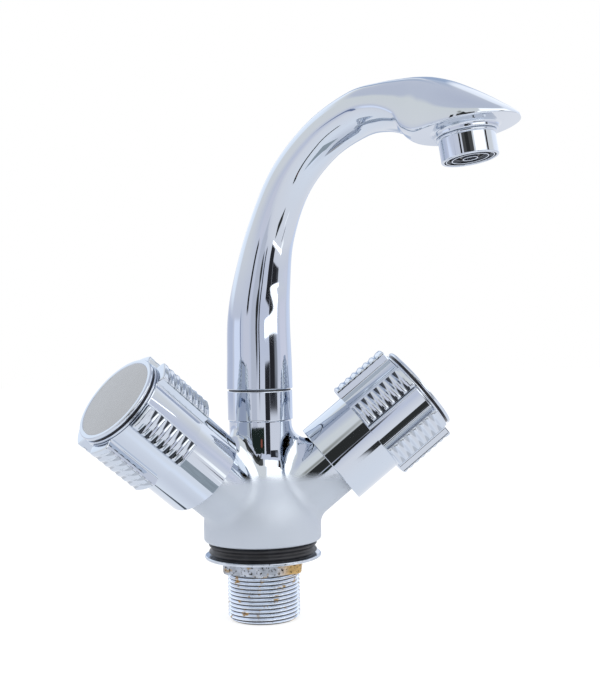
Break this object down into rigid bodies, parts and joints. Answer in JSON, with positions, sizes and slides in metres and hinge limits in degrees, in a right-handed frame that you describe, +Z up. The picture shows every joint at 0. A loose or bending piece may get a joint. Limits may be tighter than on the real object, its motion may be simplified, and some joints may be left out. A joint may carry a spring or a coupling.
{
  "type": "basin mixer tap",
  "caption": "Two-handle basin mixer tap with a swivel spout, ribbed lobed handles on raised arms, an aerator and a threaded shank with seal, washer and backnut.",
  "frame": {"origin": "where the tap's axis meets the top of the deck, under the seal, at the centre of the deck hole", "axes": "+Z up along the shank and the spout's swivel axis, -Y the tap's front between the two arms, -X the hot side"},
  "size_m": [0.1452, 0.1116, 0.2],
  "materials": {
    "chrome_plate": "polished plating",
    "satin_chrome": "satin plating",
    "plated_thread": "plated screw thread",
    "plated_washer": "bright zinc plating",
    "cast_brass": "rough casting, partly plated",
    "turned_brass": "turned",
    "black_rubber": "moulded",
    "seal_rubber": "moulded",
    "dark_nylon": "moulded",
    "spring_steel": "bright",
    "aerator_plastic": "moulded",
    "disc_ceramic": "lapped"
  },
  "bodies": {
    "body": {"body_casting": "chrome_plate", "spout_collar": "chrome_plate", "mounting_shank": "plated_thread", "deck_seal": "black_rubber", "clamp_washer": "plated_washer", "backnut": "cast_brass", "slip_washer": "dark_nylon", "hot_seat_washer": "seal_rubber", "hot_fixed_disc": "disc_ceramic", "hot_bonnet": "turned_brass", "cold_seat_washer": "seal_rubber", "cold_fixed_disc": "disc_ceramic", "cold_bonnet": "turned_brass"},
    "hot_handle_assembly": {"hot_handle": "chrome_plate", "hot_handle_cap": "satin_chrome", "hot_handle_screw": "spring_steel", "hot_spindle": "turned_brass", "hot_spindle_oring": "seal_rubber", "hot_circlip": "spring_steel", "hot_moving_disc": "disc_ceramic"},
    "cold_handle_assembly": {"cold_handle": "chrome_plate", "cold_handle_cap": "satin_chrome", "cold_handle_screw": "spring_steel", "cold_spindle": "turned_brass", "cold_spindle_oring": "seal_rubber", "cold_circlip": "spring_steel", "cold_moving_disc": "disc_ceramic"},
    "spout_assembly": {"spout": "chrome_plate", "spout_tail": "turned_brass", "spout_oring_lower": "seal_rubber", "spout_oring_upper": "seal_rubber", "spout_retaining_ring": "spring_steel", "aerator_housing": "chrome_plate", "aerator_insert": "aerator_plastic", "aerator_seal": "seal_rubber"}
  },
  "joints": [
    {"name": "hot_handle_turn", "type": "hinge", "parent": "body", "child": "hot_handle_assembly", "pos_m": [0, 0, 0.0118], "axis": [-0.7411, -0.2266, 0.632], "range_deg": [0, 90]},
    {"name": "cold_handle_turn", "type": "hinge", "parent": "body", "child": "cold_handle_assembly", "pos_m": [0, 0, 0.0118], "axis": [0.7411, -0.2266, 0.632], "range_deg": [-90, 0]},
    {"name": "spout_swivel", "type": "hinge", "parent": "body", "child": "spout_assembly", "pos_m": [0, 0, 0], "axis": [0, 0, 1], "continuous": true}
  ]
}
